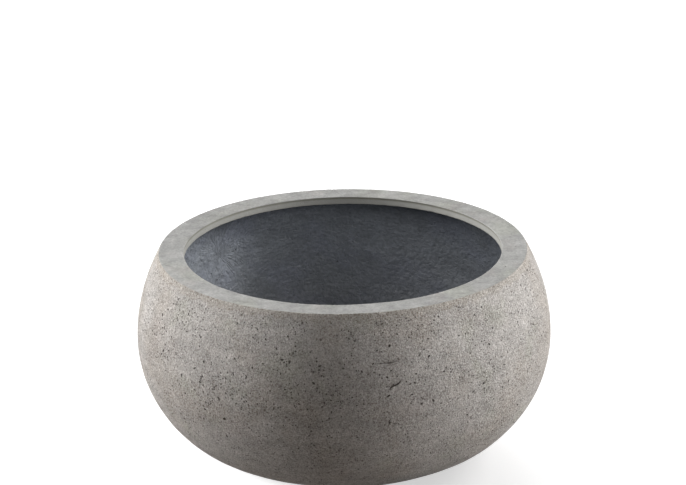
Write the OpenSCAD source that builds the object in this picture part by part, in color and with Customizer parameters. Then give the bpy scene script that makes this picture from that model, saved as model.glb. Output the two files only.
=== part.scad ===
// Bowl planter of fibre-reinforced concrete.
// A squat, wide-bellied bowl: a pitted concrete facing outside, a smooth flat rim that turns in over
// the opening and ends in a short lip, a dark glass-mat laminate inside, and a rubber stopper in the
// drain hole. Every wall is a revolved outline whose round stretches are true arcs.
// Millimetres, +Z up, origin at the middle of the underside.

/* [Bowl] */
// Widest diameter, at the belly
bowl_d = 600; // [560:5:620]
// Height of the flat rim above the floor
bowl_h = 300; // [280:5:320]
// Height of the belly's widest line above the floor
belly_z = 174; // [150:1:190]
// Diameter of the flat that the bowl stands on
foot_d = 340; // [320:5:400]

/* [Rim] */
// Outer diameter of the flat rim, at its crisp outer edge
rim_d = 531; // [510:1:550]
// Clear diameter of the opening inside the lip
mouth_d = 458; // [420:1:470]
// Thickness of the lip that hangs from the rim's inner edge
lip_t = 9; // [6:1:12]
// Rounding of the rim's outer and inner edges
edge_r = 1.5; // [0.5:0.5:2]

/* [Wall] */
// Thickness of the concrete facing
facing_t = 7; // [5:1:9]
// Thickness of the laminate inside it
laminate_t = 5; // [3:1:7]
// Inner rounding of the laminate between wall and floor
floor_corner_r = 45; // [30:5:60]
// Inner rounding of the laminate between wall and rim
rim_corner_r = 14; // [10:1:18]

/* [Underside] */
// Diameter of the shallow recess inside the foot ring
recess_d = 280; // [200:5:300]
// Depth of that recess
recess_h = 5; // [2:1:8]
// Diameter of the drain hole
drain_d = 24; // [16:1:36]

/* [Stopper] */
// Gap all round between the stopper's sealing rings and the drain hole
stopper_gap = 0.3; // [0.2:0.1:0.6]
// How far the stopper's flange reaches past the drain hole
flange_reach = 9; // [6:1:14]
// Thickness of the flange
flange_t = 3; // [2:0.5:5]
// Number of sealing rings on the shank
ring_count = 3; // [2:1:4]
// Diameter of the round grip
grip_d = 16; // [12:1:20]

/* [Hidden] */
$fn = 180;

belly_r = bowl_d / 2;
foot_r = foot_d / 2;
rim_r = rim_d / 2;
mouth_r = mouth_d / 2;
drain_r = drain_d / 2;

// The wall is two arcs, one above and one below the belly, and both stand upright at the belly.
function belly_arc_r(run, rise) = (run * run + rise * rise) / (2 * run);
upper_arc_r = belly_arc_r(belly_r - rim_r, bowl_h - belly_z);
upper_arc_x = belly_r - upper_arc_r;
lower_arc_r = belly_arc_r(belly_r - foot_r, belly_z);
lower_arc_x = belly_r - lower_arc_r;

// Radius of the upper wall at height z, measured at a depth inside its outer face
function upper_wall_r(depth, z) =
    upper_arc_x + sqrt(pow(upper_arc_r - depth, 2) - pow(z - belly_z, 2));

wall_t = facing_t + laminate_t;
facing_floor_z = recess_h + facing_t;
liner_floor_z = recess_h + wall_t;
facing_top_z = bowl_h - facing_t;
liner_top_z = bowl_h - wall_t;

// The facing and the rim meet in a mitre, from the rim's outer edge in to the facing's inner face.
mitre_outer = [rim_r, bowl_h];
mitre_inner = [upper_wall_r(facing_t, facing_top_z), facing_top_z];
mitre_above = 2 * mitre_outer - mitre_inner;
mitre_below = 2 * mitre_inner - mitre_outer;

lip_edge_r = 1;
foot_edge_r = 2;

flange_r = drain_r + flange_reach;
shank_r = drain_r - stopper_gap;
shank_root_r = shank_r - 1.2;
shank_h = wall_t - 1;
ring_pitch = shank_h / (ring_count + 0.5);
ring_r = 1.2;
grip_neck_r = grip_d / 4;
grip_neck_h = 5;
grip_h = grip_d / 2;

// ---- outlines, drawn in the X-Y plane as radius and height ----

// A disc on the belly line, filled in to the axis
module filled_disc(arc_x, arc_r) {
    translate([arc_x, belly_z]) circle(arc_r);
    if (arc_x > 0) {
        translate([0, belly_z - arc_r]) square([arc_x, 2 * arc_r]);
    }
}

// The filled bowl, its wall set in by depth, cut level at floor_z and top_z
module bowl_outline(depth, floor_z, top_z) {
    intersection() {
        filled_disc(upper_arc_x, upper_arc_r - depth);
        union() {
            filled_disc(lower_arc_x, lower_arc_r - depth);
            translate([0, belly_z]) square([belly_r, top_z - belly_z]);
        }
        translate([0, floor_z]) square([belly_r, top_z - floor_z]);
    }
}

// What a rounding of corner_r takes off the corner between a wall arc and the level line at level_z
module corner_waste(arc_x, arc_r, level_z, corner_r, side) {
    rise = side * (level_z - belly_z) - corner_r;
    run = sqrt(pow(arc_r - corner_r, 2) - rise * rise);
    wall_a = atan2(rise, run);
    mid_a = (wall_a + 90) / 2;
    near = 1.6 * corner_r;
    far = 2 * corner_r;
    translate([arc_x + run, belly_z + side * rise])
        mirror([0, side > 0 ? 0 : 1])
            difference() {
                polygon([
                    [0, 0],
                    [near * cos(wall_a), near * sin(wall_a)],
                    [far * cos(mid_a), far * sin(mid_a)],
                    [0, near]
                ]);
                circle(corner_r);
            }
}

// What a rounding takes off a square corner at [x, z]; sx and sz point from the corner into the solid
module edge_waste(x, z, round_r, sx, sz) {
    translate([x, z])
        mirror([sx > 0 ? 0 : 1, 0])
            mirror([0, sz > 0 ? 0 : 1])
                difference() {
                    translate([-round_r, -round_r]) square(2 * round_r);
                    translate([round_r, round_r]) circle(round_r);
                }
}

// The whole outside of the bowl, with its top edge rounded
module outside_outline() {
    difference() {
        bowl_outline(0, 0, bowl_h);
        corner_waste(upper_arc_x, upper_arc_r, bowl_h, edge_r, 1);
    }
}

// The hollow that is left inside the laminate
module hollow_outline() {
    difference() {
        bowl_outline(wall_t, liner_floor_z, liner_top_z);
        corner_waste(upper_arc_x, upper_arc_r - wall_t, liner_top_z, rim_corner_r, 1);
        corner_waste(lower_arc_x, lower_arc_r - wall_t, liner_floor_z, floor_corner_r, -1);
    }
}

// Everything on the rim's side of the mitre
module rim_side() {
    polygon([mitre_below, mitre_above, [0, mitre_above.y], [0, mitre_below.y]]);
}

module drain_outline() {
    translate([0, -1]) square([drain_r, liner_floor_z + 2]);
}

// ---- sub-parts ----

// Concrete facing: wall, floor and foot ring
module outer_shell() {
    color([0.62, 0.60, 0.57])
        rotate_extrude()
            difference() {
                outside_outline();
                bowl_outline(facing_t, facing_floor_z, bowl_h);
                rim_side();
                translate([0, -1]) square([recess_d / 2, recess_h + 1]);
                edge_waste(recess_d / 2, 0, foot_edge_r, 1, 1);
                drain_outline();
                edge_waste(drain_r, recess_h, foot_edge_r, 1, 1);
            }
}

// Smooth rim: a flat ring with a lip hanging from its inner edge
module rim_ring() {
    color([0.67, 0.67, 0.65])
        rotate_extrude()
            difference() {
                union() {
                    intersection() {
                        outside_outline();
                        rim_side();
                        translate([0, facing_top_z]) square([belly_r, facing_t]);
                    }
                    translate([mouth_r, liner_top_z]) square([lip_t, wall_t - facing_t / 2]);
                }
                translate([0, facing_top_z - 1]) square([mouth_r, facing_t + 2]);
                edge_waste(mouth_r, bowl_h, edge_r, 1, -1);
                edge_waste(mouth_r, liner_top_z, lip_edge_r, 1, 1);
            }
}

// Glass-mat laminate: lines the facing and runs under the rim to the back of the lip
module inner_liner() {
    color([0.27, 0.29, 0.31])
        rotate_extrude()
            difference() {
                bowl_outline(facing_t, facing_floor_z, facing_top_z);
                hollow_outline();
                translate([0, liner_top_z - 1]) square([mouth_r + lip_t, wall_t]);
                drain_outline();
            }
}

// Rubber stopper: flange, ringed shank and round grip
module drain_plug() {
    grip_z = liner_floor_z + flange_t + grip_neck_h + grip_h / 2;
    color([0.09, 0.09, 0.09])
        rotate_extrude()
            intersection() {
                square([flange_r, grip_z + grip_h]);
                union() {
                    // flange with a round edge, resting on the floor
                    translate([0, liner_floor_z]) square([flange_r - flange_t / 2, flange_t]);
                    translate([flange_r - flange_t / 2, liner_floor_z + flange_t / 2]) circle(flange_t / 2);
                    // shank
                    translate([0, liner_floor_z - shank_h]) square([shank_root_r, shank_h + 1]);
                    for (i = [1 : ring_count]) {
                        translate([shank_r - ring_r, liner_floor_z - i * ring_pitch]) circle(ring_r);
                    }
                    // grip
                    translate([0, liner_floor_z + 1]) square([grip_neck_r, grip_z - liner_floor_z]);
                    translate([grip_d / 2 - grip_h / 2, grip_z]) circle(grip_h / 2);
                    translate([0, grip_z - grip_h / 2]) square([grip_d / 2 - grip_h / 2, grip_h]);
                }
            }
}

outer_shell();
rim_ring();
inner_liner();
drain_plug();
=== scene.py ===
"""Looks of a concrete bowl planter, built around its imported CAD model.

Each CAD node is redrawn as one closed mesh on the node's own outline: the pitted facing, the smooth
rim, the coated laminate and the rubber stopper. Pits, nicks, wrinkles and waviness are modelled, and
the grain that is finer than those is left to the materials. Metres, +Z up.
"""
import math

import bpy
import numpy as np
from mathutils import Matrix, Vector, noise


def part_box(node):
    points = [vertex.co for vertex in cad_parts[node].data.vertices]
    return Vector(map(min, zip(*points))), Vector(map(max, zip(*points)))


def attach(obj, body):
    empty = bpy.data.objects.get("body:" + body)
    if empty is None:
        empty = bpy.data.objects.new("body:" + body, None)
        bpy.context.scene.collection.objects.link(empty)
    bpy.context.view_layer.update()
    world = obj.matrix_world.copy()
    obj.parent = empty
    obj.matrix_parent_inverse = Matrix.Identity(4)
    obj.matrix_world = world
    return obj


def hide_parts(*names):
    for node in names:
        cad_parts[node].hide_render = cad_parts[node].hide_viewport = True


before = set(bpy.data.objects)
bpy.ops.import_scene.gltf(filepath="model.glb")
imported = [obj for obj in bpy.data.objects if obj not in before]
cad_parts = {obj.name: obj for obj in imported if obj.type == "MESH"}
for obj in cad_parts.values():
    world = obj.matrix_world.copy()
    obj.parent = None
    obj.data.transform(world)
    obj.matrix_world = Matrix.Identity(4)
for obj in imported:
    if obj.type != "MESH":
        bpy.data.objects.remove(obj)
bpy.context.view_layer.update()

MM = 0.001
TURN = 2 * math.pi
TINY = 1e-9

# ---- sizes, from the frame where a box gives them ----

BELLY_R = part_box("outer_shell")[1].x
BOWL_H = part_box("rim_ring")[1].z
LINER_TOP_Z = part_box("rim_ring")[0].z
FLANGE_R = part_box("drain_plug")[1].x
PLUG_LOW_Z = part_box("drain_plug")[0].z
PLUG_HIGH_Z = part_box("drain_plug")[1].z

BELLY_Z = 174 * MM
FOOT_R = 170 * MM
RIM_R = 265.5 * MM
MOUTH_R = 229 * MM
LIP_T = 9 * MM
EDGE_ROUND = 1.5 * MM
LIP_ROUND = 1 * MM
FOOT_ROUND = 2 * MM
FACING_T = 7 * MM
WALL_T = BOWL_H - LINER_TOP_Z
FLOOR_CORNER_R = 45 * MM
RIM_CORNER_R = 14 * MM
RECESS_R = 140 * MM
RECESS_H = 5 * MM
DRAIN_R = 12 * MM
FLANGE_T = 3 * MM
GRIP_R = 8 * MM
GRIP_NECK_R = 4 * MM
SEAL_CREST_R = 11.7 * MM
SEAL_ROUND = 1.2 * MM
SEAL_COUNT = 3

FACING_FLOOR_Z = RECESS_H + FACING_T
FACING_TOP_Z = BOWL_H - FACING_T
LINER_FLOOR_Z = RECESS_H + WALL_T


def belly_arc_r(run, rise):
    """Radius of a wall arc that stands upright at the belly and moves in by run over that rise."""
    return (run * run + rise * rise) / (2 * run)


UPPER_R = belly_arc_r(BELLY_R - RIM_R, BOWL_H - BELLY_Z)
LOWER_R = belly_arc_r(BELLY_R - FOOT_R, BELLY_Z)
UPPER_X = BELLY_R - UPPER_R
LOWER_X = BELLY_R - LOWER_R
# the centres of the two wall arcs
UPPER, LOWER = (UPPER_X, BELLY_Z), (LOWER_X, BELLY_Z)


def level_a(arc_r, rise):
    """Angle at which a wall arc has risen this far from the belly."""
    return math.asin(rise / arc_r)


# Where the facing's inner face meets its top and its floor: the angle on the arc, and the radius.
FACING_TOP_A = level_a(UPPER_R - FACING_T, FACING_TOP_Z - BELLY_Z)
FACING_TOP_R = UPPER_X + (UPPER_R - FACING_T) * math.cos(FACING_TOP_A)
FACING_FLOOR_A = level_a(LOWER_R - FACING_T, BELLY_Z - FACING_FLOOR_Z)
FACING_FLOOR_R = LOWER_X + (LOWER_R - FACING_T) * math.cos(FACING_FLOOR_A)


def rounding(arc_x, arc_r, level_z, round_r):
    """Centre of the rounding between a wall arc and a level, and the angle where the arc ends."""
    rise = abs(level_z - BELLY_Z) - round_r
    run = math.sqrt((arc_r - round_r) ** 2 - rise * rise)
    side = 1 if level_z > BELLY_Z else -1
    return (arc_x + run, BELLY_Z + side * rise), side * math.atan2(rise, run)


# The facing and the rim share the rounding at the rim's outer edge, and meet half way along it.
RIM_EDGE, RIM_EDGE_A = rounding(UPPER_X, UPPER_R, BOWL_H, EDGE_ROUND)
SEAM_A = (math.pi / 2 + RIM_EDGE_A) / 2
SEAM = (RIM_EDGE[0] + EDGE_ROUND * math.cos(SEAM_A), RIM_EDGE[1] + EDGE_ROUND * math.sin(SEAM_A))


# ---- outlines ----

class Outline:
    """A closed outline as radius and height. It runs clockwise, so its outer side is on the left."""

    def __init__(self, r, z):
        self.s, self.r, self.z, self.nr, self.nz = [0.0], [r], [z], [0.0], [0.0]
        self.rows = [0.0]
        self.named = {}
        self.hidden = True

    def _add(self, r, z, nr, nz):
        self.s.append(self.s[-1] + math.hypot(r - self.r[-1], z - self.z[-1]))
        self.r.append(r)
        self.z.append(z)
        self.nr.append(nr)
        self.nz.append(nz)

    def _start(self, nr, nz, hidden):
        """At a corner the shown side's normal counts, or the mean of two shown sides."""
        if not hidden:
            was = (0.0, 0.0) if self.hidden else (self.nr[-1], self.nz[-1])
            self.nr[-1], self.nz[-1] = Vector((was[0] + nr, was[1] + nz)).normalized()
        self.hidden = hidden

    def line(self, r, z, rows=1, hidden=False, name=None):
        """A straight stretch to (r, z), cut into rows."""
        d = Vector((r - self.r[-1], z - self.z[-1])).normalized()
        nr, nz = -d.y, d.x
        self._start(nr, nz, hidden)
        r0, z0, s0 = self.r[-1], self.z[-1], self.s[-1]
        for i in range(1, rows + 1):
            self._add(r0 + (r - r0) * i / rows, z0 + (z - z0) * i / rows, nr, nz)
            self.rows.append(self.s[-1])
        self.named[name] = (s0, self.s[-1])

    def arc(self, centre, radius, a0, a1, rows, hidden=False, name=None):
        """A round stretch from angle a0 to a1, with points at most half a degree apart."""
        way = -1 if a1 < a0 else 1
        self._start(-way * math.cos(a0), -way * math.sin(a0), hidden)
        s0 = self.s[-1]
        fine = max(1, math.ceil(abs(a1 - a0) / rows / math.radians(0.5)))
        for i in range(1, rows * fine + 1):
            a = a0 + (a1 - a0) * i / (rows * fine)
            c, s = math.cos(a), math.sin(a)
            self._add(centre[0] + radius * c, centre[1] + radius * s, -way * c, -way * s)
            if i % fine == 0:
                self.rows.append(self.s[-1])
        self.named[name] = (s0, self.s[-1])

    def at(self, s):
        """Radius, height and the outward normal at each length s."""
        return [np.interp(s, self.s, v) for v in (self.r, self.z, self.nr, self.nz)]


def edge(outline, r, z, round_r, way_z, rows=3, name=None):
    """A rounded square corner at (r, z), with the solid outward and above (way_z 1) or below (-1)."""
    a0 = -90 if way_z > 0 else 180
    centre = (r + round_r, z + way_z * round_r)
    outline.arc(centre, round_r, math.radians(a0), math.radians(a0 - 90), rows, name=name)


# ---- meshes ----

# A pit has this margin for its lumps. A cell counts for less than its width in the pit's block, so
# that there is room to move the pit to its own place.
PIT_MARGIN, CELL_SHARE = 1.16, 0.92
# A pit wider than this has a steep side down to this share of its width and depth, then a cone.
SIDED_PIT_W, PIT_SHOULDER = 1.8 * MM, 0.72
# What the materials read as a pit's edge and as its inside.
AT_PIT_EDGE, IN_PIT = 0.5, 1


def add_object(name, data):
    """A new object in the scene with this mesh, lamp or camera."""
    made = bpy.data.objects.new(name, data)
    bpy.context.scene.collection.objects.link(made)
    return made


class Skin:
    """A turned mesh on an outline. A point keeps its angle, its place along it and its depth."""

    def __init__(self, outline):
        self.outline = outline
        self.phi, self.s, self.depth, self.pit, self.crease = [], [], [], [], []
        self.faces = []
        self.loops = 0

    def points(self, phi, s, depth=0.0, pit=0.0, crease=False):
        first, count = len(self.phi), len(phi)
        self.loops += 1
        self.phi += list(phi)
        self.s += list(np.broadcast_to(s, count))
        self.depth += [depth] * count
        self.pit += [pit] * count
        self.crease += [self.loops if crease else 0] * count
        return list(range(first, first + count))

    def ring(self, s, count, crease=False):
        return self.points(np.arange(count) * TURN / count, s, crease=crease)

    def bridge(self, upper, lower):
        """Faces between two rings, which may differ in number of points."""
        a, b = len(upper), len(lower)
        if a == b:
            for j in range(a):
                k = (j + 1) % a
                self.faces.append((upper[j], lower[j], lower[k], upper[k]))
            return
        i = j = 0
        while i < a or j < b:
            if j == b or (i < a and (i + 1) * b <= (j + 1) * a):
                tri = (upper[i % a], lower[j % b], upper[(i + 1) % a])
                i += 1
            else:
                tri = (upper[i % a], lower[j % b], lower[(j + 1) % b])
                j += 1
            if len(set(tri)) == 3:
                self.faces.append(tri)

    def pitted(self, rows, count, pits):
        """A band of rings with pits let into it. Each takes a block of cells that no other has."""
        rings = [self.ring(s, count) for s in rows]
        taken = np.zeros((len(rows) - 1, count), bool)
        cell_v = (rows[-1] - rows[0]) / (len(rows) - 1)
        for p in pits:
            r = self.outline.at(p["s"])[0]
            cell_u = TURN * r / count
            c, s = math.cos(p["tilt"]), math.sin(p["tilt"])
            half_u = PIT_MARGIN * math.hypot(p["length"] * c, p["width"] * s) / 2
            half_v = PIT_MARGIN * math.hypot(p["length"] * s, p["width"] * c) / 2
            wide = math.ceil(2 * half_u / (CELL_SHARE * cell_u))
            high = math.ceil(2 * half_v / (CELL_SHARE * cell_v))
            u, v = p["phi"] * r / cell_u, (p["s"] - rows[0]) / cell_v
            col, row = round(u - wide / 2), round(v - high / 2)
            if row < 0 or row + high > len(rows) - 1:
                continue
            cols = [(col + k) % count for k in range(wide + 1)]
            if taken[row:row + high, cols[:-1]].any():
                continue
            taken[row:row + high, cols[:-1]] = True
            slack_u = wide * cell_u / 2 - half_u
            slack_v = high * cell_v / 2 - half_v
            mid_u, mid_v = (col + wide / 2) * cell_u, (row + high / 2) * cell_v
            du = float(np.clip(p["phi"] * r - mid_u, -slack_u, slack_u))
            dv = float(np.clip(p["s"] - rows[0] - mid_v, -slack_v, slack_v))
            block = [(row + k, 0) for k in range(high)]
            block += [(row + high, k) for k in range(wide)]
            block += [(row + high - k, wide) for k in range(high)]
            block += [(row, wide - k) for k in range(wide)]
            outer = [rings[i][cols[k]] for i, k in block]
            outer_at = [
                (k * cell_u - wide * cell_u / 2 - du, (i - row) * cell_v - high * cell_v / 2 - dv)
                for i, k in block
            ]
            self._pit(p, outer, outer_at, (mid_u + du) / r, rows[0] + mid_v + dv, r)
        for i in range(len(rows) - 1):
            for j in np.flatnonzero(~taken[i]):
                k = (j + 1) % count
                self.faces.append((rings[i][j], rings[i + 1][j], rings[i + 1][k], rings[i][k]))
        return rings[0], rings[-1]

    def turn(self, last, start, end, columns, crease_to=0.0):
        """Joined rings on the outline's rows between two places, after a ring. Gives the last.

        columns is a count, or pairs of a place and the count up to it. Rings are creases up to
        crease_to.
        """
        steps = [(math.inf, columns)] if isinstance(columns, int) else columns
        for s in self.outline.rows:
            if start + TINY < s < end - TINY:
                count = next(n for up_to, n in steps if s < up_to)
                ring = self.ring(s, count, crease=s < crease_to + TINY)
                self.bridge(last, ring)
                last = ring
        return last

    def band(self, last, span, rows, count, pits):
        """A pitted band over a span of the outline, after a ring. Gives its last ring."""
        upper, lower = self.pitted(np.linspace(*span, rows), count, pits)
        self.bridge(last, upper)
        return lower

    def _pit(self, p, outer, outer_at, phi, s, r):
        """A lumpy hollow inside its block of cells."""
        c, sn = math.cos(p["tilt"]), math.sin(p["tilt"])
        sides = len(p["lumps"])

        def loop(scale, depth, pit, crease=False):
            xy = []
            for k in range(sides):
                a = -TURN * k / sides
                x = p["length"] / 2 * math.cos(a) * p["lumps"][k] * scale
                y = p["width"] / 2 * math.sin(a) * p["lumps"][k] * scale
                y += p["bend"] * math.sin(TURN * x / p["length"])
                xy.append((x * c - y * sn, x * sn + y * c))
            at = np.array(xy)
            return self.points(phi + at[:, 0] / r, s + at[:, 1], depth, pit, crease), xy

        rim, rim_at = loop(1, 0, AT_PIT_EDGE, True)
        self._zip(outer, outer_at, rim, rim_at)
        last = rim
        if p["width"] > SIDED_PIT_W:
            last, _ = loop(PIT_SHOULDER, PIT_SHOULDER * p["depth"], IN_PIT)
            for k in range(sides):
                n = (k + 1) % sides
                self.faces.append((rim[k], rim[n], last[n], last[k]))
        bottom, = self.points([phi], [s], p["depth"], IN_PIT)
        for k in range(sides):
            self.faces.append((last[k], last[(k + 1) % sides], bottom))

    def _zip(self, outer, outer_at, inner, inner_at):
        """Triangles between two loops around one another, always across the shorter way."""
        a, b = len(outer), len(inner)

        def gap(i, j):
            return math.dist(outer_at[i % a], inner_at[j % b])

        first = min(range(b), key=lambda k: gap(0, k))
        i = j = 0
        while i < a or j < b:
            if j == b or (i < a and gap(i + 1, first + j) <= gap(i, first + j + 1)):
                self.faces.append((outer[i % a], outer[(i + 1) % a], inner[(first + j) % b]))
                i += 1
            else:
                self.faces.append((inner[(first + j + 1) % b], inner[(first + j) % b], outer[i % a]))
                j += 1

    def build(self, name, material, inset):
        """The mesh object. inset says how far points move into the solid, besides their own depth."""
        used = np.zeros(len(self.phi), bool)
        for f in self.faces:
            used[list(f)] = True
        number = np.cumsum(used) - 1
        phi, s = np.array(self.phi)[used], np.array(self.s)[used]
        depth, pit = np.array(self.depth)[used], np.array(self.pit)[used]
        crease = np.array(self.crease)[used]
        r, z, nr, nz = self.outline.at(s)
        out = np.stack([np.cos(phi), np.sin(phi)], 1)
        at = np.concatenate([out * r[:, None], z[:, None]], 1)
        normal = np.concatenate([out * nr[:, None], nz[:, None]], 1)
        depth = depth + inset(at, phi, s)
        at = at - normal * depth[:, None]

        mesh = bpy.data.meshes.new(name)
        mesh.from_pydata(at.tolist(), [], [[int(number[v]) for v in f] for f in self.faces])
        mesh.polygons.foreach_set("use_smooth", np.ones(len(mesh.polygons), bool))
        ends = np.zeros(2 * len(mesh.edges), np.int32)
        mesh.edges.foreach_get("vertices", ends)
        pair = crease[ends.reshape(-1, 2)]
        mesh.edges.foreach_set("use_edge_sharp", (pair[:, 0] > 0) & (pair[:, 0] == pair[:, 1]))
        mesh.attributes.new("pit", "FLOAT", "POINT").data.foreach_set("value", pit.astype(np.float32))
        mesh.materials.append(material)
        return add_object(name, mesh)


def bumps(at, wavelength, offset=0.0):
    """Smooth noise from about -1 to 1 at points in space."""
    scaled = at / wavelength + offset
    return 2 * np.array([noise.noise(p) for p in scaled.tolist()])


def waves(at, kinds):
    """Waviness from 0 inwards. Each kind is a wavelength, half a wave's height, and an offset."""
    return sum(height * (1 + bumps(at, wavelength, offset)) for wavelength, height, offset in kinds)


def near(value, place, reach):
    """1 at a place, fading out over about the reach to both sides of it."""
    return np.exp(-((value - place) / reach) ** 2)


def ramp(value, length):
    """0 for a value up to 0, rising to 1 over this length."""
    return np.clip(value / length, 0, 1)


def nick_line(seed, count, radius, widths, depths, wear):
    """Gives a function for how far an edge is worn back at an angle: light wear and random nicks."""
    steps, wave_kinds, wave_share = 16384, 6, 0.25
    rng = np.random.default_rng(seed)
    table = np.arange(steps) * TURN / steps
    worn = np.full(table.shape, wear)
    for _ in range(wave_kinds):
        times = rng.integers(5, 60)
        worn += wear * wave_share * np.sin(times * table + rng.uniform(0, TURN))
    for _ in range(count):
        centre, half = rng.uniform(0, TURN), rng.uniform(*widths) / 2 / radius
        # cubed, so that most nicks are shallow
        depth = depths[0] + (depths[1] - depths[0]) * rng.random() ** 3
        away = np.abs((table - centre + math.pi) % TURN - math.pi)
        worn = np.maximum(worn, depth * np.clip(1 - (away / half) ** 2, 0, None) ** 0.6)
    return lambda phi: np.interp(phi % TURN, table, worn, period=TURN)


# How crowded the pits are: a mean, and its ups and downs over two lengths.
CROWD = 0.42
BROAD_CROWD, BROAD_CROWD_L = 0.6, 60 * MM
FINE_CROWD, FINE_CROWD_L = 1.0, 23 * MM


def kind(count, width, stretch, depth, sides):
    """A kind of pit: its count, least and most width in mm, length and depth by width, and sides."""
    width = [w * MM for w in width]
    return {"count": count, "width": width, "stretch": stretch, "depth": depth, "sides": sides}


def scatter(seed, outline, span, kinds, thin=None):
    """Random pits over a span of the outline, even by area but for clusters. thin(s) is what stays."""
    rng = np.random.default_rng(seed)
    widest = outline.at(np.linspace(*span, 64))[0].max()
    found = []
    for group in kinds:
        placed = 0
        while placed < group["count"]:
            s, phi = rng.uniform(*span), rng.uniform(0, TURN)
            r, z = outline.at(s)[:2]
            spot = Vector((r * math.cos(phi), r * math.sin(phi), z))
            crowd = CROWD + BROAD_CROWD * noise.noise(spot / BROAD_CROWD_L)
            crowd += FINE_CROWD * noise.noise(spot / FINE_CROWD_L)
            if rng.random() > r / widest or rng.random() > crowd:
                continue
            if thin and rng.random() > thin(s):
                continue
            width = rng.uniform(*group["width"])
            found.append({
                "phi": phi, "s": s, "width": width, "bend": 0,
                "length": width * rng.uniform(*group["stretch"]),
                "tilt": rng.uniform(0, math.pi),
                "depth": width * rng.uniform(*group["depth"]),
                "lumps": rng.uniform(0.84, 1.14, group["sides"]),
            })
            placed += 1
    found.sort(key=lambda p: -p["length"])
    return found


def mark(azimuth, place, length, width, rise, depth=0.6, bend=0.0, sides=12, seed=0):
    """One pit in a known place, with its lengths in mm.

    Azimuth 0 is the front and 90 the right. Its place is a height on the wall or a radius on the rim,
    rise is its slope up to the right in degrees, and depth goes by its width.
    """
    width *= MM
    return {
        "phi": math.radians(azimuth - 90) % TURN,
        "place": place * MM,
        "width": width, "length": length * MM, "depth": depth * width, "bend": bend * MM,
        "tilt": -math.radians(rise),
        "lumps": np.random.default_rng(seed).uniform(0.9, 1.1, sides),
    }


# What Outline.at gives first and second.
BY_RADIUS, BY_HEIGHT = 0, 1


def place_marks(outline, span, marks, by):
    """The marks, each set on the outline where it comes nearest to the mark's radius or height."""
    along = np.linspace(*span, 2000)
    reached = outline.at(along)[by]
    for m in marks:
        m["s"] = float(along[np.abs(reached - m["place"]).argmin()])
    return marks


# ---- facing ----

ARRIS_COLUMNS = 1120
WALL_COLUMNS, WALL_ROWS = 440, 87
FOOT_COLUMNS = 220
BASE_COLUMNS, BASE_ROWS = 200, 25
DRAIN_COLUMNS = 96
HIDDEN_COLUMNS = 180

WALL_WAVES = ((95 * MM, 0.28 * MM, 0.0), (28 * MM, 0.12 * MM, 7.3))
ARRIS_REACH = 1.3 * MM
FOOT_REACH = 2.2 * MM
arris_wear = nick_line(11, 150, RIM_R, (1.5 * MM, 5 * MM), (0.15 * MM, 0.9 * MM), 0.12 * MM)
foot_wear = nick_line(12, 90, FOOT_R, (4 * MM, 11 * MM), (0.4 * MM, 1.8 * MM), 0.5 * MM)

WALL_PITS = [
    kind(1600, (1.1, 1.6), (1, 2.0), (0.5, 0.8), 6),
    kind(1150, (1.6, 2.3), (1, 2.2), (0.5, 0.75), 7),
    kind(330, (2.2, 3.1), (1, 2.3), (0.4, 0.6), 9),
    kind(26, (3.2, 4.4), (1.1, 2.0), (0.35, 0.5), 12),
    kind(34, (1.0, 1.6), (4, 9), (0.5, 0.8), 14),
]
BASE_PITS = [
    kind(150, (1.2, 2.6), (1, 1.6), (0.4, 0.7), 7),
    kind(24, (3, 5), (1, 1.6), (0.3, 0.45), 10),
]
# The curved crack, the pit below it, the fine line above it, a pit beside it, the largest pit.
WALL_MARKS = [
    mark(13.4, 202.0, 22, 2.7, 38, bend=1.6, sides=34, seed=1),
    mark(11.5, 187.2, 7.0, 3.0, 27, seed=3),
    mark(11.6, 236.0, 27, 3.0, 1, depth=0.9, bend=0.3, sides=34, seed=4),
    mark(17.8, 200.8, 3.4, 2.2, 30, seed=5),
    mark(-34.8, 137, 5.4, 4.4, 40, depth=0.45, seed=6),
]


def shell_outline():
    """From the seam with the rim down the wall, across the base, and up the facing's hidden side."""
    smooth_band, foot_band = 6 * MM, 1.5 * MM
    o = Outline(*SEAM)
    o.arc(RIM_EDGE, EDGE_ROUND, SEAM_A, RIM_EDGE_A, 3)
    smooth_a = RIM_EDGE_A - smooth_band / UPPER_R
    o.arc(UPPER, UPPER_R, RIM_EDGE_A, smooth_a, 4)
    o.arc(UPPER, UPPER_R, smooth_a, 0, 1, name="upper_wall")
    foot_a = level_a(LOWER_R, BELLY_Z)
    corner_a = -foot_a + foot_band / LOWER_R
    o.arc(LOWER, LOWER_R, 0, corner_a, 1, name="lower_wall")
    o.arc(LOWER, LOWER_R, corner_a, -foot_a, 1, name="foot_corner")
    o.line(FOOT_R - 2 * MM, 0)
    o.line(RECESS_R + FOOT_ROUND, 0)
    edge(o, RECESS_R, 0, FOOT_ROUND, 1)
    o.line(RECESS_R, RECESS_H)
    o.line(DRAIN_R + FOOT_ROUND, RECESS_H, name="recess")
    edge(o, DRAIN_R, RECESS_H, FOOT_ROUND, 1)
    o.line(DRAIN_R, FACING_FLOOR_Z)
    o.line(FACING_FLOOR_R, FACING_FLOOR_Z, 3, hidden=True)
    o.arc(LOWER, LOWER_R - FACING_T, -FACING_FLOOR_A, 0, 8, hidden=True)
    o.arc(UPPER, UPPER_R - FACING_T, 0, FACING_TOP_A, 6, hidden=True)
    return o


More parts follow.
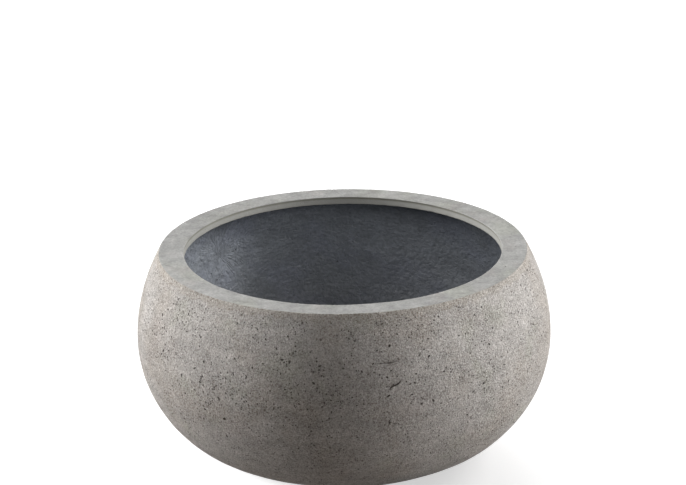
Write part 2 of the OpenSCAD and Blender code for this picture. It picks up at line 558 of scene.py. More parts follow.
def make_shell(material):
    o = shell_outline()
    skin = Skin(o)
    wall = (o.named["upper_wall"][0], o.named["lower_wall"][1])
    foot_s = o.named["foot_corner"][1]
    recess = o.named["recess"]

    def thin(s):
        """The share of pits that stay: few at the top of the wall, and all from 24 mm below it."""
        return min(1.0, 0.08 + (s - wall[0]) / (26 * MM))

    wall_pits = scatter(21, o, (wall[0] + 2 * MM, wall[1] - 2 * MM), WALL_PITS, thin)
    wall_pits = place_marks(o, wall, WALL_MARKS, BY_HEIGHT) + wall_pits
    base_pits = scatter(22, o, (recess[0] + 4 * MM, recess[1] - 4 * MM), BASE_PITS)

    first = skin.ring(0, ARRIS_COLUMNS)
    last = skin.turn(first, 0, wall[0], ARRIS_COLUMNS)
    last = skin.band(last, wall, WALL_ROWS, WALL_COLUMNS, wall_pits)
    foot_columns = [(foot_s + 3 * MM, WALL_COLUMNS), (math.inf, FOOT_COLUMNS)]
    last = skin.turn(last, wall[1], recess[0], foot_columns)
    last = skin.band(last, recess, BASE_ROWS, BASE_COLUMNS, base_pits)
    inner_columns = [(recess[1] + 12 * MM, DRAIN_COLUMNS), (math.inf, HIDDEN_COLUMNS)]
    last = skin.turn(last, recess[1], math.inf, inner_columns, crease_to=math.inf)
    skin.bridge(last, first)

    def inset(at, phi, s):
        shown = (s < recess[0]).astype(float)
        fade = ramp(s, 9 * MM) * ramp(foot_s - s, 12 * MM)
        wear = arris_wear(phi) * near(s, 0, ARRIS_REACH)
        wear += foot_wear(phi) * near(s, foot_s, FOOT_REACH)
        return np.maximum(shown * fade * waves(at, WALL_WAVES), 0) + shown * wear

    return skin.build("shell_skin", material, inset)


# ---- rim ----

RIM_COLUMNS, TOP_ROWS, LIP_ROWS = ARRIS_COLUMNS // 2, 14, 9
RIM_HIDDEN_COLUMNS = 200

RIM_WAVES = ((60 * MM, 0.1 * MM, 0.0), (14 * MM, 0.05 * MM, 3.1))
# The lip's face leans back by this much over this height from its foot, and comes out again over a
# short one that ends this far past its top.
LIP_LEAN, LIP_LEAN_H = 1.1 * MM, 8 * MM
LEAN_END_H, LEAN_END = 1.6 * MM, 0.6 * MM
MOUTH_REACH = 1.4 * MM
LIP_REACH = 1.1 * MM
mouth_wear = nick_line(13, 90, MOUTH_R, (1.5 * MM, 4 * MM), (0.1 * MM, 0.6 * MM), 0.1 * MM)
lip_wear = nick_line(14, 120, MOUTH_R, (2 * MM, 6 * MM), (0.1 * MM, 0.8 * MM), 0.12 * MM)

RIM_PORES = [
    kind(70, (0.9, 1.6), (1, 1.4), (0.5, 0.7), 6),
    kind(12, (1.6, 2.1), (1, 1.3), (0.4, 0.6), 7),
]
RIM_MARKS = [mark(-1.9, 245.5, 3.0, 2.4, 20, seed=8)]


def rim_outline():
    """From the underside round the lip and over the flat top to the rim's outer edge."""
    o = Outline(FACING_TOP_R, FACING_TOP_Z)
    o.line(MOUTH_R + LIP_T, FACING_TOP_Z, 2, hidden=True)
    o.line(MOUTH_R + LIP_T, LINER_TOP_Z, hidden=True)
    o.line(MOUTH_R + LIP_ROUND, LINER_TOP_Z, 4, name="lip_bottom")
    edge(o, MOUTH_R, LINER_TOP_Z, LIP_ROUND, 1, name="lip_edge")
    o.line(MOUTH_R, BOWL_H - EDGE_ROUND, 1, name="lip_face")
    edge(o, MOUTH_R, BOWL_H, EDGE_ROUND, -1, 4)
    o.line(RIM_EDGE[0], BOWL_H, 1, name="top")
    o.arc(RIM_EDGE, EDGE_ROUND, math.pi / 2, SEAM_A, 3)
    return o


def make_rim(material):
    o = rim_outline()
    skin = Skin(o)
    lip_bottom, lip_edge = o.named["lip_bottom"][0], o.named["lip_edge"]
    lip_face, top = o.named["lip_face"], o.named["top"]
    top_pores = scatter(31, o, (top[0] + 4 * MM, top[1] - 4 * MM), RIM_PORES)
    top_pores = place_marks(o, top, RIM_MARKS, BY_RADIUS) + top_pores
    lip_pores = scatter(32, o, (lip_face[0] + 2 * MM, lip_face[1] - 2 * MM), RIM_PORES[:1])

    first = skin.ring(0, RIM_HIDDEN_COLUMNS, crease=True)
    under_columns = [(lip_bottom - TINY, RIM_HIDDEN_COLUMNS), (math.inf, RIM_COLUMNS)]
    last = skin.turn(first, 0, lip_face[0], under_columns, crease_to=lip_bottom)
    last = skin.band(last, lip_face, LIP_ROWS, RIM_COLUMNS, lip_pores)
    last = skin.turn(last, lip_face[1], top[0], RIM_COLUMNS)
    last = skin.band(last, top, TOP_ROWS, RIM_COLUMNS, top_pores)
    last = skin.turn(last, top[1], math.inf, ARRIS_COLUMNS)
    skin.bridge(last, first)

    def inset(at, phi, s):
        shown = (s > lip_edge[0]).astype(float)
        fade = ramp(o.s[-1] - s, 6 * MM)
        wear = arris_wear(phi) * near(s, o.s[-1], ARRIS_REACH)
        lean = LIP_LEAN * ramp(lip_face[1] + LEAN_END - s, LEAN_END_H)
        wear += lean * ramp(s - lip_face[0], LIP_LEAN_H)
        wear += mouth_wear(phi) * near(s, (lip_face[1] + top[0]) / 2, MOUTH_REACH)
        wear += lip_wear(phi) * near(s, sum(lip_edge) / 2, LIP_REACH)
        return np.maximum(shown * fade * waves(at, RIM_WAVES), 0) + shown * wear

    return skin.build("rim_skin", material, inset)


# ---- lining ----

LINING_COLUMNS, LINING_ROWS = 640, 104
LINING_EDGE_COLUMNS = 480
LINING_FLOOR_COLUMNS = 240

LINING_BUBBLES = [
    kind(170, (0.9, 1.6), (1, 1.5), (0.5, 0.7), 6),
    kind(120, (1.8, 3.2), (1, 1.6), (0.5, 0.7), 7),
]
RIDGE_H = 0.3 * MM
# The fan of brush strokes at the left: its middle, its rays' number and height, and how far from the
# middle they are highest and fade.
FAN_PHI, FAN_Z = math.radians(131), 218 * MM
FAN_RAYS, FAN_H = 15, 0.2 * MM
FAN_MID_R, FAN_REACH = 42 * MM, 34 * MM


def liner_outline():
    """From the lip's back down the facing, across the floor, and up the shown inner side."""
    o = Outline(MOUTH_R + LIP_T, FACING_TOP_Z)
    o.line(FACING_TOP_R, FACING_TOP_Z, hidden=True)
    o.arc(UPPER, UPPER_R - FACING_T, FACING_TOP_A, 0, 6, hidden=True)
    o.arc(LOWER, LOWER_R - FACING_T, 0, -FACING_FLOOR_A, 8, hidden=True)
    o.line(DRAIN_R, FACING_FLOOR_Z, 3, hidden=True)
    o.line(DRAIN_R, LINER_FLOOR_Z, hidden=True, name="drain")
    low, low_a = rounding(LOWER_X, LOWER_R - WALL_T, LINER_FLOOR_Z, FLOOR_CORNER_R)
    o.line(low[0], LINER_FLOOR_Z, 34, name="floor")
    o.arc(low, FLOOR_CORNER_R, -math.pi / 2, low_a, 7)
    o.arc(LOWER, LOWER_R - WALL_T, low_a, 0, 66, name="lower_wall")
    high, high_a = rounding(UPPER_X, UPPER_R - WALL_T, LINER_TOP_Z, RIM_CORNER_R)
    o.arc(UPPER, UPPER_R - WALL_T, 0, high_a, 40, name="upper_wall")
    o.arc(high, RIM_CORNER_R, high_a, math.pi / 2, 6)
    o.line(MOUTH_R + LIP_T, LINER_TOP_Z, 4)
    return o


def make_liner(material):
    o = liner_outline()
    skin = Skin(o)
    wall = (o.named["lower_wall"][0], o.named["upper_wall"][1])
    floor_s = o.named["floor"][0]
    bubbles = scatter(41, o, (wall[0] + 3 * MM, wall[1] - 3 * MM), LINING_BUBBLES)

    first = skin.ring(0, HIDDEN_COLUMNS, crease=True)
    floor_columns = [
        (o.named["drain"][0] - TINY, HIDDEN_COLUMNS),
        (floor_s + 10 * MM, DRAIN_COLUMNS),
        (floor_s + 70 * MM, LINING_FLOOR_COLUMNS),
        (math.inf, LINING_EDGE_COLUMNS),
    ]
    last = skin.turn(first, 0, wall[0], floor_columns, crease_to=floor_s)
    last = skin.band(last, wall, LINING_ROWS, LINING_COLUMNS, bubbles)
    last = skin.turn(last, wall[1], math.inf, LINING_EDGE_COLUMNS)
    skin.bridge(last, first)

    def inset(at, phi, s):
        shown = ramp(s - floor_s - 22 * MM, 12 * MM) * ramp(o.s[-1] - s, 8 * MM)
        mat = 0.45 * MM * bumps(at, 34 * MM) + 0.34 * MM * bumps(at, 12 * MM, 5.7)
        warp = 16 * MM * np.stack([bumps(at, 40 * MM, k) for k in (11.1, 17.9, 23.3)], 1)
        ridge = 1 - np.abs(bumps(at + warp, 12 * MM, 31.7))
        r, z = np.hypot(at[:, 0], at[:, 1]), at[:, 2]
        u = ((phi - FAN_PHI + math.pi) % TURN - math.pi) * r
        v = (z - FAN_Z) * 1.15
        ray = np.arctan2(v, u) + 0.35 * bumps(at, 30 * MM, 41.3)
        fan = np.sin(FAN_RAYS * ray) * near(np.hypot(u, v), FAN_MID_R, FAN_REACH)
        return shown * (mat - RIDGE_H * ridge ** 3 - FAN_H * fan)

    return skin.build("liner_skin", material, inset)


# ---- stopper ----

PLUG_COLUMNS = 120
RUBBER_WAVES = ((6 * MM, 0.05 * MM, 0.0),)
# The mould's parting line stands proud by this much, over this angle to each side.
PARTING_H, PARTING_A = 0.12 * MM, 0.035


def plug_outline():
    """From the small well on the grip down the neck, round the flange, and down the ringed shank."""
    grip_round = GRIP_NECK_R
    grip_z = PLUG_HIGH_Z - grip_round
    flange_top = LINER_FLOOR_Z + FLANGE_T
    fillet = 1.2 * MM
    well_h, well_low_r, well_top_r = 0.6 * MM, 1.1 * MM, 1.4 * MM
    shank_r = SEAL_CREST_R - SEAL_ROUND
    pitch = (LINER_FLOOR_Z - PLUG_LOW_Z) / (SEAL_COUNT + 0.5)
    half = math.pi / 2
    o = Outline(0.0, PLUG_HIGH_Z - well_h)
    o.line(well_low_r, PLUG_HIGH_Z - well_h)
    o.line(well_top_r, PLUG_HIGH_Z)
    o.line(GRIP_R - grip_round, PLUG_HIGH_Z, 2)
    o.arc((GRIP_R - grip_round, grip_z), grip_round, half, -half, 18, name="grip")
    o.line(GRIP_NECK_R, flange_top + fillet, 3)
    o.arc((GRIP_NECK_R + fillet, flange_top + fillet), fillet, math.pi, 1.5 * math.pi, 5)
    # a fine groove round the flange
    o.line(FLANGE_R - 4.5 * MM, flange_top, 3)
    o.arc((FLANGE_R - 4 * MM, flange_top), 0.5 * MM, math.pi, TURN, 5)
    o.line(FLANGE_R - FLANGE_T / 2, flange_top)
    o.arc((FLANGE_R - FLANGE_T / 2, flange_top - FLANGE_T / 2), FLANGE_T / 2, half, -half, 10)
    o.line(shank_r, LINER_FLOOR_Z, 2)
    for i in range(1, SEAL_COUNT + 1):
        seal_z = LINER_FLOOR_Z - i * pitch
        o.line(shank_r, seal_z + SEAL_ROUND)
        o.arc((shank_r, seal_z), SEAL_ROUND, half, -half, 6)
    o.line(shank_r, PLUG_LOW_Z)
    o.line(0.0, PLUG_LOW_Z, 2)
    return o


def make_plug(material):
    o = plug_outline()
    skin = Skin(o)
    last = skin.turn(skin.ring(0, 1), 0, o.s[-1], PLUG_COLUMNS)
    skin.bridge(last, skin.ring(o.s[-1], 1))
    grip = o.named["grip"]

    def inset(at, phi, s):
        on_grip = ramp(s - grip[0], 1 * MM) * ramp(grip[1] - s, 1 * MM)
        half_turn = phi % math.pi
        line = near(half_turn, 0, PARTING_A) + near(half_turn, math.pi, PARTING_A)
        return waves(at, RUBBER_WAVES) + on_grip * PARTING_H * (1 - np.clip(line, 0, 1))

    return skin.build("plug_skin", material, inset)


# ---- materials ----

# Where nearly all values of a noise lie.
NOISE = (0.3, 0.7)


class Paint:
    """A node material, with one short call for each kind of node."""

    def __init__(self, name):
        self.material = bpy.data.materials.new(name)
        self.material.use_nodes = True
        self.tree = self.material.node_tree
        self.place = self.node("TexCoord").outputs["Object"]

    def put(self, node, values):
        """Gives a node's inputs, by name or number, their values or links."""
        for key, value in values.items():
            if isinstance(value, bpy.types.NodeSocket):
                self.tree.links.new(value, node.inputs[key])
            else:
                node.inputs[key].default_value = value

    def node(self, kind, values=None, **settings):
        made = self.tree.nodes.new("ShaderNode" + kind)
        for key, value in settings.items():
            setattr(made, key, value)
        self.put(made, values or {})
        return made

    def noise(self, size, detail=2.0, rough=0.5, place=None, warp=0.0):
        """Noise from 0 to 1 whose lumps are about this size, in metres."""
        values = {"Vector": place or self.place, "Scale": 1 / size}
        values |= {"Detail": detail, "Roughness": rough, "Distortion": warp}
        return self.node("TexNoise", values).outputs["Fac"]

    def moved(self, scale=(1, 1, 1), turn=(0, 0, 0), shift=(0, 0, 0)):
        """The place, scaled, then turned, then shifted."""
        values = {"Vector": self.place, "Location": shift, "Rotation": turn, "Scale": scale}
        return self.node("Mapping", values).outputs["Vector"]

    def measured(self, x, y, z, turn=(0, 0, 0), shift=(0, 0, 0)):
        """The place in units of these lengths along x, y and z, for long or flat noise."""
        return self.moved((1 / x, 1 / y, 1 / z), turn, shift)

    def math(self, operation, a, b=0.0):
        return self.node("Math", {0: a, 1: b}, operation=operation).outputs[0]

    def times(self, a, b):
        return self.math("MULTIPLY", a, b)

    def plus(self, a, b):
        return self.math("ADD", a, b)

    def minus(self, a, b):
        return self.math("SUBTRACT", a, b)

    def span(self, value, low, high, to_low=0.0, to_high=1.0, smooth=True):
        """The value, with low to high stretched over to_low to to_high and held outside."""
        values = {"Value": value, "From Min": low, "From Max": high}
        values |= {"To Min": to_low, "To Max": to_high}
        curve = "SMOOTHSTEP" if smooth else "LINEAR"
        return self.node("MapRange", values, interpolation_type=curve).outputs["Result"]

    def vary(self, noise, spread, middle=1.0, smooth=False):
        """Noise made into a value that goes this far up and down from the middle."""
        return self.span(noise, *NOISE, middle - spread, middle + spread, smooth)

    def mix(self, share, a, b):
        """Colour a where the share is 0 and b where it is 1."""
        a, b = [(*c, 1) if isinstance(c, tuple) else c for c in (a, b)]
        n = self.node("Mix", {"Factor": share, "A": a, "B": b}, data_type="RGBA")
        return next(o for o in n.outputs if o.type == "RGBA")

    def patches(self, colour, other, share, noise, low, high):
        """The colour with patches of another, which reach this share where the noise passes high."""
        return self.mix(self.span(noise, low, high, 0, share), colour, other)

    def tint(self, colour, value):
        """The colour times a value."""
        return self.node("VectorMath", {0: colour, "Scale": value}, operation="SCALE").outputs[0]

    def speckle(self, colour, value):
        """The colour with a value added to red, green and blue, and held above a dark floor."""
        darkest = (0.06, 0.055, 0.05)
        lift = self.node("CombineXYZ", {axis: value for axis in "XYZ"}).outputs[0]
        added = self.node("VectorMath", {0: colour, 1: lift}, operation="ADD").outputs[0]
        return self.node("VectorMath", {0: added, 1: darkest}, operation="MAXIMUM").outputs[0]

    def bump(self, height, distance):
        return self.node("Bump", {"Height": height, "Distance": distance}).outputs["Normal"]

    def in_pits(self, high, share):
        """This share inside the mesh's pits and nothing outside, falling off up their sides."""
        pit = self.node("Attribute", attribute_name="pit").outputs["Fac"]
        return self.span(pit, AT_PIT_EDGE, high, 0, share)

    def height(self):
        return self.node("SeparateXYZ", {0: self.place}).outputs["Z"]

    def rays(self, phi, z):
        """Fine strokes that fan out from a place on the wall, from 0 to 1, and how near it is."""
        across = {0: self.place, 1: (math.sin(phi), -math.cos(phi), 0)}
        u = self.node("VectorMath", across, operation="DOT_PRODUCT").outputs["Value"]
        v = self.minus(self.height(), z)
        away = self.math("SQRT", self.plus(self.times(u, u), self.times(v, v)))
        sway = self.vary(self.noise(50 * MM, 1), 0.12, middle=0, smooth=True)
        turn = self.plus(self.math("ARCTAN2", v, u), sway)
        strokes_a_radian, stroke_l = 9.0, 60 * MM
        around = {"X": self.times(turn, strokes_a_radian), "Y": self.math("DIVIDE", away, stroke_l)}
        strokes = self.noise(1.0, 1, 0.5, self.node("CombineXYZ", around).outputs[0])
        return self.span(strokes, 0.5, 0.6), self.span(away, 30 * MM, 75 * MM, 1, 0)

    def finish(self, colour, rough, normal, gloss):
        values = {"Base Color": colour, "Roughness": rough, "Normal": normal}
        self.put(self.tree.nodes["Principled BSDF"], values | {"Specular IOR Level": gloss})
        return self.material


def pitted_concrete():
    """The facing: warm grey with brown and greenish patches, sandy grain, layers and pinholes."""
    p = Paint("pitted_concrete")
    grey = (0.454, 0.431, 0.409)
    brown = (0.387, 0.350, 0.313)
    olive = (0.407, 0.401, 0.346)
    pink = (0.449, 0.402, 0.385)
    edge_brown = (0.415, 0.375, 0.327)
    pinhole_shade = (0.07, 0.062, 0.054)
    pit_shade = (0.085, 0.074, 0.062)

    brown_at = p.noise(90 * MM, 3, 0.55, p.moved(shift=(0, 0, 7.7)))
    olive_at = p.noise(60 * MM, 2, 0.5, p.moved(shift=(3.1, 0, 0)))
    pink_at = p.noise(48 * MM, 2, 0.5, p.moved(shift=(0, 5.7, 0)))
    colour = p.patches(grey, brown, 0.55, brown_at, 0.42, 0.66)
    colour = p.patches(colour, olive, 0.42, olive_at, 0.56, 0.7)
    colour = p.patches(colour, pink, 0.22, pink_at, 0.58, 0.7)
    edge_z = p.plus(p.height(), p.vary(p.noise(16 * MM), 2.5 * MM, middle=0, smooth=True))
    under_arris = p.span(edge_z, BOWL_H - 12 * MM, BOWL_H - 7 * MM)
    colour = p.mix(p.times(under_arris, 0.45), colour, edge_brown)

    cloud = p.vary(p.noise(34 * MM, 4, 0.6), 0.1)
    grain = p.vary(p.noise(2.3 * MM, 3, 0.75), 0.235, middle=0)
    sand = p.vary(p.noise(7.5 * MM, 2, 0.5, p.moved(shift=(0, 0, 2.3))), 0.1)
    layers = p.noise(1.0, 3, 0.6, p.measured(110 * MM, 110 * MM, 11 * MM))
    cloud = p.times(cloud, p.span(layers, 0.35, 0.65, 0.94, 1.06, smooth=False))
    # the upper wall is a little paler, partly its own cleaner face and partly painted light
    cloud = p.times(cloud, p.span(p.height(), 190 * MM, 250 * MM, 1.0, 1.06))
    colour = p.speckle(p.tint(colour, p.times(cloud, sand)), grain)

    # pinholes too small for the mesh: one in each cell of a random pattern, of random size, each
    # darkened with painted shade
    pin = p.node("TexVoronoi", {"Vector": p.place, "Scale": 1 / (3.2 * MM)})
    size = p.node("SeparateColor", {0: pin.outputs["Color"]}).outputs["Red"]
    crowd = p.times(p.span(p.noise(26 * MM, 2), 0.35, 0.65, 0.2, 1.0), 0.56)
    reach = p.times(p.math("POWER", size, 2.5), crowd)
    pinhole = p.span(p.minus(reach, pin.outputs["Distance"]), 0, 0.09)
    pinhole = p.times(pinhole, p.minus(1.0, under_arris))
    colour = p.mix(p.times(pinhole, 0.8), colour, pinhole_shade)
    # painted shade in the mesh's pits
    colour = p.mix(p.in_pits(0.8, 0.76), colour, pit_shade)

    relief = p.times(p.math("MINIMUM", p.noise(2.2 * MM, 3, 0.7), 0.54), 1.4)
    relief = p.plus(relief, p.times(p.noise(8 * MM, 2), 0.45))
    relief = p.minus(relief, p.times(pinhole, 0.7))
    rough = p.span(p.noise(12 * MM, 3), *NOISE, 0.84, 0.97)
    return p.finish(colour, rough, p.bump(relief, 2.4 * MM), gloss=0.22)


def smooth_concrete():
    """The rim: smooth grey with greenish and warm patches, trowel strokes and a few pores."""
    p = Paint("smooth_concrete")
    grey = (0.384, 0.381, 0.370)
    green = (0.373, 0.376, 0.336)
    warm = (0.386, 0.367, 0.352)
    lip_grey = (0.325, 0.32, 0.295)
    arris_shadow = (0.17, 0.165, 0.125)
    pore_shade = (0.16, 0.15, 0.135)
    coat_dark = (0.062, 0.066, 0.074)

    colour = p.patches(grey, green, 0.6, p.noise(70 * MM, 3), 0.45, 0.65)
    warm_at = p.noise(40 * MM, 2, 0.5, p.moved(shift=(4.4, 0, 0)))
    colour = p.patches(colour, warm, 0.6, warm_at, 0.55, 0.7)
    cloud = p.vary(p.noise(18 * MM, 4, 0.6), 0.19)
    grain = p.vary(p.noise(3.5 * MM, 3, 0.6), 0.17)
    # faint strokes of the trowel, round the rim
    out = p.node("VectorMath", {0: p.moved(scale=(1, 1, 0))}, operation="LENGTH").outputs["Value"]
    around = p.node("CombineXYZ", {"X": out, "Y": p.noise(120 * MM, 1)}).outputs[0]
    strokes = p.vary(p.noise(2.2 * MM, 2, 0.5, around), 0.04)
    strokes = p.times(strokes, p.vary(p.noise(130 * MM, 1), 0.06, smooth=True))
    colour = p.tint(colour, p.times(cloud, p.times(grain, strokes)))

    # the lip's face is darker than the top, with a painted shadow line just under the mouth's edge
    on_lip = p.span(p.height(), BOWL_H - 1.2 * MM, BOWL_H - 0.5 * MM, 0.9, 0)
    colour = p.mix(on_lip, colour, lip_grey)
    from_line = p.math("ABSOLUTE", p.minus(p.height(), BOWL_H - 2.6 * MM))
    colour = p.mix(p.span(from_line, 0.5 * MM, 2.4 * MM, 0.6, 0), colour, arris_shadow)
    # painted shade in the pores
    colour = p.mix(p.in_pits(0.9, 0.6), colour, pore_shade)

    # the inner coat runs up onto the underside of the lip
    edge_z = p.plus(p.height(), p.vary(p.noise(11 * MM, 3), 0.25 * MM, middle=0, smooth=True))
    coat = p.span(edge_z, LINER_TOP_Z + 0.2 * MM, LINER_TOP_Z + 0.6 * MM, 1, 0)
    colour = p.mix(coat, colour, coat_dark)
    relief = p.plus(p.noise(2.6 * MM, 3, 0.6), p.times(p.noise(9 * MM, 3), 1.2))
    rough = p.span(p.noise(15 * MM, 3), *NOISE, 0.7, 0.86)
    return p.finish(colour, rough, p.bump(relief, 0.4 * MM), gloss=0.3)


def coated_laminate():
    """The lining: a slate coat over glass mat, with pale fibres, brush strokes and small bubbles."""
    p = Paint("coated_laminate")
    slate = (0.165, 0.178, 0.197)
    blue = (0.171, 0.184, 0.221)
    worn = (0.220, 0.230, 0.244)
    deep_shade_grey = (0.105, 0.105, 0.107)
    bubble_shade = (0.03, 0.031, 0.034)
    stroke_shade = (0.07, 0.075, 0.08)

    colour = p.patches(slate, blue, 0.8, p.noise(75 * MM, 3), 0.42, 0.66)
    # four layers of pale fibres; each turn and shift finds another part of the noise
    fibres = 0.0
    for k, turn in enumerate(((0.4, 0.2, 0.3), (1.2, 0.9, 2.1), (2.3, 1.9, 0.8), (0.7, 2.6, 1.5))):
        along = p.measured(30 * MM, 2.1 * MM, 2.1 * MM, turn, shift=(k, 0, 0))
        fibres = p.math("MAXIMUM", fibres, p.span(p.noise(1.0, 2, 0.55, along), 0.56, 0.72))
    colour = p.mix(p.times(fibres, 0.34), colour, worn)
    cloud = p.vary(p.noise(24 * MM, 4, 0.65), 0.14)
    grain = p.vary(p.noise(4.5 * MM, 2, 0.5), 0.12)
    colour = p.tint(colour, p.times(cloud, grain))
    # painted shade deeper in the bowl: darker and less blue towards the floor
    colour = p.mix(p.span(p.height(), 90 * MM, 230 * MM, 0.4, 0, smooth=False), colour, deep_shade_grey)
    # painted shade in the bubbles
    colour = p.mix(p.in_pits(0.9, 0.6), colour, bubble_shade)

    rays, near_fan = p.rays(FAN_PHI, FAN_Z)
    rays = p.times(rays, p.span(p.noise(9 * MM, 1), 0.35, 0.6, 0.15, 1))
    combed = p.noise(1.0, 2, 0.5, p.measured(8 * MM, 8 * MM, 5 * MM), warp=0.8)
    combed = p.times(p.minus(1.0, near_fan), p.span(combed, 0.5, 0.62, 0, 0.6))
    line = p.plus(combed, p.times(near_fan, rays))
    # painted shade along the brush strokes' grooves
    colour = p.mix(p.times(line, 0.3), colour, stroke_shade)
    relief = p.minus(p.noise(5.5 * MM, 1), p.times(line, 0.3))
    rough = p.span(p.noise(10 * MM, 3), *NOISE, 0.42, 0.62)
    return p.finish(colour, rough, p.bump(relief, 1.7 * MM), gloss=0.45)


def black_rubber():
    """The stopper: matt black, faded in patches, with dust on what faces up."""
    p = Paint("black_rubber")
    black = (0.020, 0.020, 0.021)
    faded = (0.036, 0.035, 0.034)
    dust_grey = (0.16, 0.15, 0.135)
    colour = p.patches(black, faded, 0.6, p.noise(9 * MM, 3), 0.4, 0.7)
    normal = p.node("TexCoord").outputs["Normal"]
    facing_up = p.span(p.node("SeparateXYZ", {0: normal}).outputs["Z"], 0.3, 1.0)
    dust = p.times(facing_up, p.span(p.noise(3 * MM, 4, 0.7), 0.45, 0.75))
    colour = p.mix(p.times(dust, 0.35), colour, dust_grey)
    rough = p.span(p.noise(4 * MM, 2), *NOISE, 0.58, 0.78)
    return p.finish(colour, rough, p.bump(p.noise(0.7 * MM, 2), 0.05 * MM), gloss=0.4)


# ---- stage ----

def seen_rays(tree):
    """1 for rays of the camera, of gloss and of glass, and 0 for light thrown on to other things."""
    path = tree.nodes.new("ShaderNodeLightPath")
    seen = path.outputs["Is Camera Ray"]
    for name in ("Is Glossy Ray", "Is Transmission Ray"):
        either = tree.nodes.new("ShaderNodeMath")
        either.operation = "MAXIMUM"
        tree.links.new(seen, either.inputs[0])
        tree.links.new(path.outputs[name], either.inputs[1])
        seen = either.outputs[0]
    return seen


def plain_floor():
    """White to the camera, with the shadow kept, and a warm grey to the light that it returns."""
    material = bpy.data.materials.new("floor_white")
    material.use_nodes = True
    tree = material.node_tree
    tree.nodes.clear()
    bounce = tree.nodes.new("ShaderNodeBsdfDiffuse")
    bounce.inputs["Color"].default_value = (0.240, 0.216, 0.201, 1)
    shade = tree.nodes.new("ShaderNodeBsdfDiffuse")
    shade.inputs["Color"].default_value = (0.62, 0.62, 0.62, 1)
    glow = tree.nodes.new("ShaderNodeEmission")
    glow.inputs["Strength"].default_value = 0.585
    shown = tree.nodes.new("ShaderNodeAddShader")
    choice = tree.nodes.new("ShaderNodeMixShader")
    out = tree.nodes.new("ShaderNodeOutputMaterial")
    link = tree.links.new
    link(shade.outputs[0], shown.inputs[0])
    link(glow.outputs[0], shown.inputs[1])
    link(seen_rays(tree), choice.inputs[0])
    link(bounce.outputs[0], choice.inputs[1])
    link(shown.outputs[0], choice.inputs[2])
    link(choice.outputs[0], out.inputs["Surface"])
    half = 6.0
    mesh = bpy.data.meshes.new("floor")
    corners = [(-half, -half, 0), (half, -half, 0), (half, half, 0), (-half, half, 0)]
    mesh.from_pydata(corners, [], [(0, 1, 2, 3)])
    mesh.materials.append(material)
    floor = add_object("floor", mesh)
    return floor


def studio_world():
    """A white background that gives almost no light."""
    light, white = 0.01, 1.0
    world = bpy.data.worlds.new("studio")
    world.use_nodes = True
    bpy.context.scene.world = world
    tree = world.node_tree
    strength = tree.nodes.new("ShaderNodeMapRange")
    strength.inputs["To Min"].default_value = light
    strength.inputs["To Max"].default_value = white
    out = tree.nodes["Background"]
    out.inputs["Color"].default_value = (1, 1, 1, 1)
    tree.links.new(seen_rays(tree), strength.inputs["Value"])
    tree.links.new(strength.outputs["Result"], out.inputs["Strength"])


# Each lamp's name, azimuth, elevation, level and spread. The pieces have lamps of their own, because
# the same lamps for all don't give each the photograph's light.
WALL_LAMPS = (
    ("wall_left_back", -120, 40, 0.66, 26),
    ("wall_left", -103, 20, 0.72, 26),
    ("wall_left_low", -87, 4, 0.37, 26),
    ("wall_right_low", 86, 4, 0.92, 26),
    ("wall_right", 105, 20, 0.38, 26),
    ("wall_right_high", 107, 40, 0.36, 26),
)
RIM_LAMPS = (
    ("rim_left_back", -120, 38, 0.31, 26),
    ("rim_left", -103, 17, 1.02, 26),
    ("rim_right_low", 90, 4, 0.79, 14),
    ("rim_right", 105, 27, 0.40, 26),
    ("rim_top", 15, 82, 0.21, 40),
    ("rim_front", -8, 4, 0.40, 30),
)
LINING_LAMPS = (
    ("lining_left", -61, 32, 0.455, 32),
    ("lining_front", 28, 22, 0.28, 23),
    ("lining_right", 68, 26, 0.22, 27),
    ("lining_glow", 85, 29.5, 1.04, 16),
    ("lining_back", 180, 30, 0.48, 40),
)
FLOOR_LAMPS = (
    ("floor_left", -80, 20, 1.94, 30),
    ("floor_right", 140, 20, 1.03, 30),
    ("floor_back", 180, 20, 1.04, 30),
)


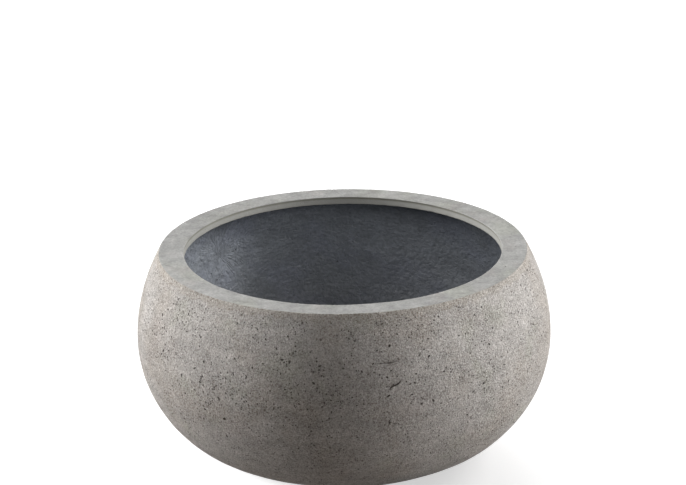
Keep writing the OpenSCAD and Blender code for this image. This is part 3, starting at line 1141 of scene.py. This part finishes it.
def softbox(name, azimuth, elevation, level, spread, lit):
    """A distant soft lamp on the lit pieces alone, with its angles in degrees.

    Azimuth 0 is the camera's side and 90 its right. Level 1 shows a colour about as it is written.
    """
    a, e = math.radians(azimuth), math.radians(elevation)
    toward = Vector((math.sin(a) * math.cos(e), -math.cos(a) * math.cos(e), math.sin(e)))
    data = bpy.data.lights.new(name, "SUN")
    data.energy = math.pi * level
    data.angle = math.radians(spread)
    lamp = add_object(name, data)
    lamp.rotation_mode = "QUATERNION"
    lamp.rotation_quaternion = toward.to_track_quat("Z", "Y")
    group = bpy.data.collections.new(name + "_lights")
    for piece in lit:
        group.objects.link(piece)
    lamp.light_linking.receiver_collection = group


def camera():
    """Looks down at the bowl from in front, as fitted to the photograph's ellipses and outline."""
    place = (0.0004, -5.645, 2.330)
    pitch, roll = 0.34373, -0.01633
    focal_px, frame_px, sensor_mm = 4161, 686, 36
    ahead = Vector((0, math.cos(pitch), -math.sin(pitch)))
    right = Vector((1, 0, 0))
    up = right.cross(ahead)
    c, s = math.cos(roll), math.sin(roll)
    data = bpy.data.cameras.new("camera")
    data.sensor_width = sensor_mm
    data.lens = focal_px * sensor_mm / frame_px
    data.clip_end = 100
    made = add_object("camera", data)
    made.matrix_world = Matrix((c * right + s * up, c * up - s * right, -ahead)).transposed().to_4x4()
    made.location = place
    bpy.context.scene.camera = made


# ---- assembly ----

pieces = {
    "outer_shell": (make_shell(pitted_concrete()), "bowl", "pitted_concrete"),
    "rim_ring": (make_rim(smooth_concrete()), "bowl", "smooth_concrete"),
    "inner_liner": (make_liner(coated_laminate()), "bowl", "coated_laminate"),
    "drain_plug": (make_plug(black_rubber()), "stopper", "black_rubber"),
}
for node, (piece, body, slot) in pieces.items():
    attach(piece, body)
    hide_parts(node)

floor = plain_floor()
studio_world()
shell, rim, liner, plug = [piece for piece, _, _ in pieces.values()]
for lamps, *lit in (
    (WALL_LAMPS, shell),
    (RIM_LAMPS, rim),
    (LINING_LAMPS, liner, plug),
    (FLOOR_LAMPS, floor),
):
    for lamp in lamps:
        softbox(*lamp, lit)
camera()
bpy.context.scene.view_settings.view_transform = "Standard"
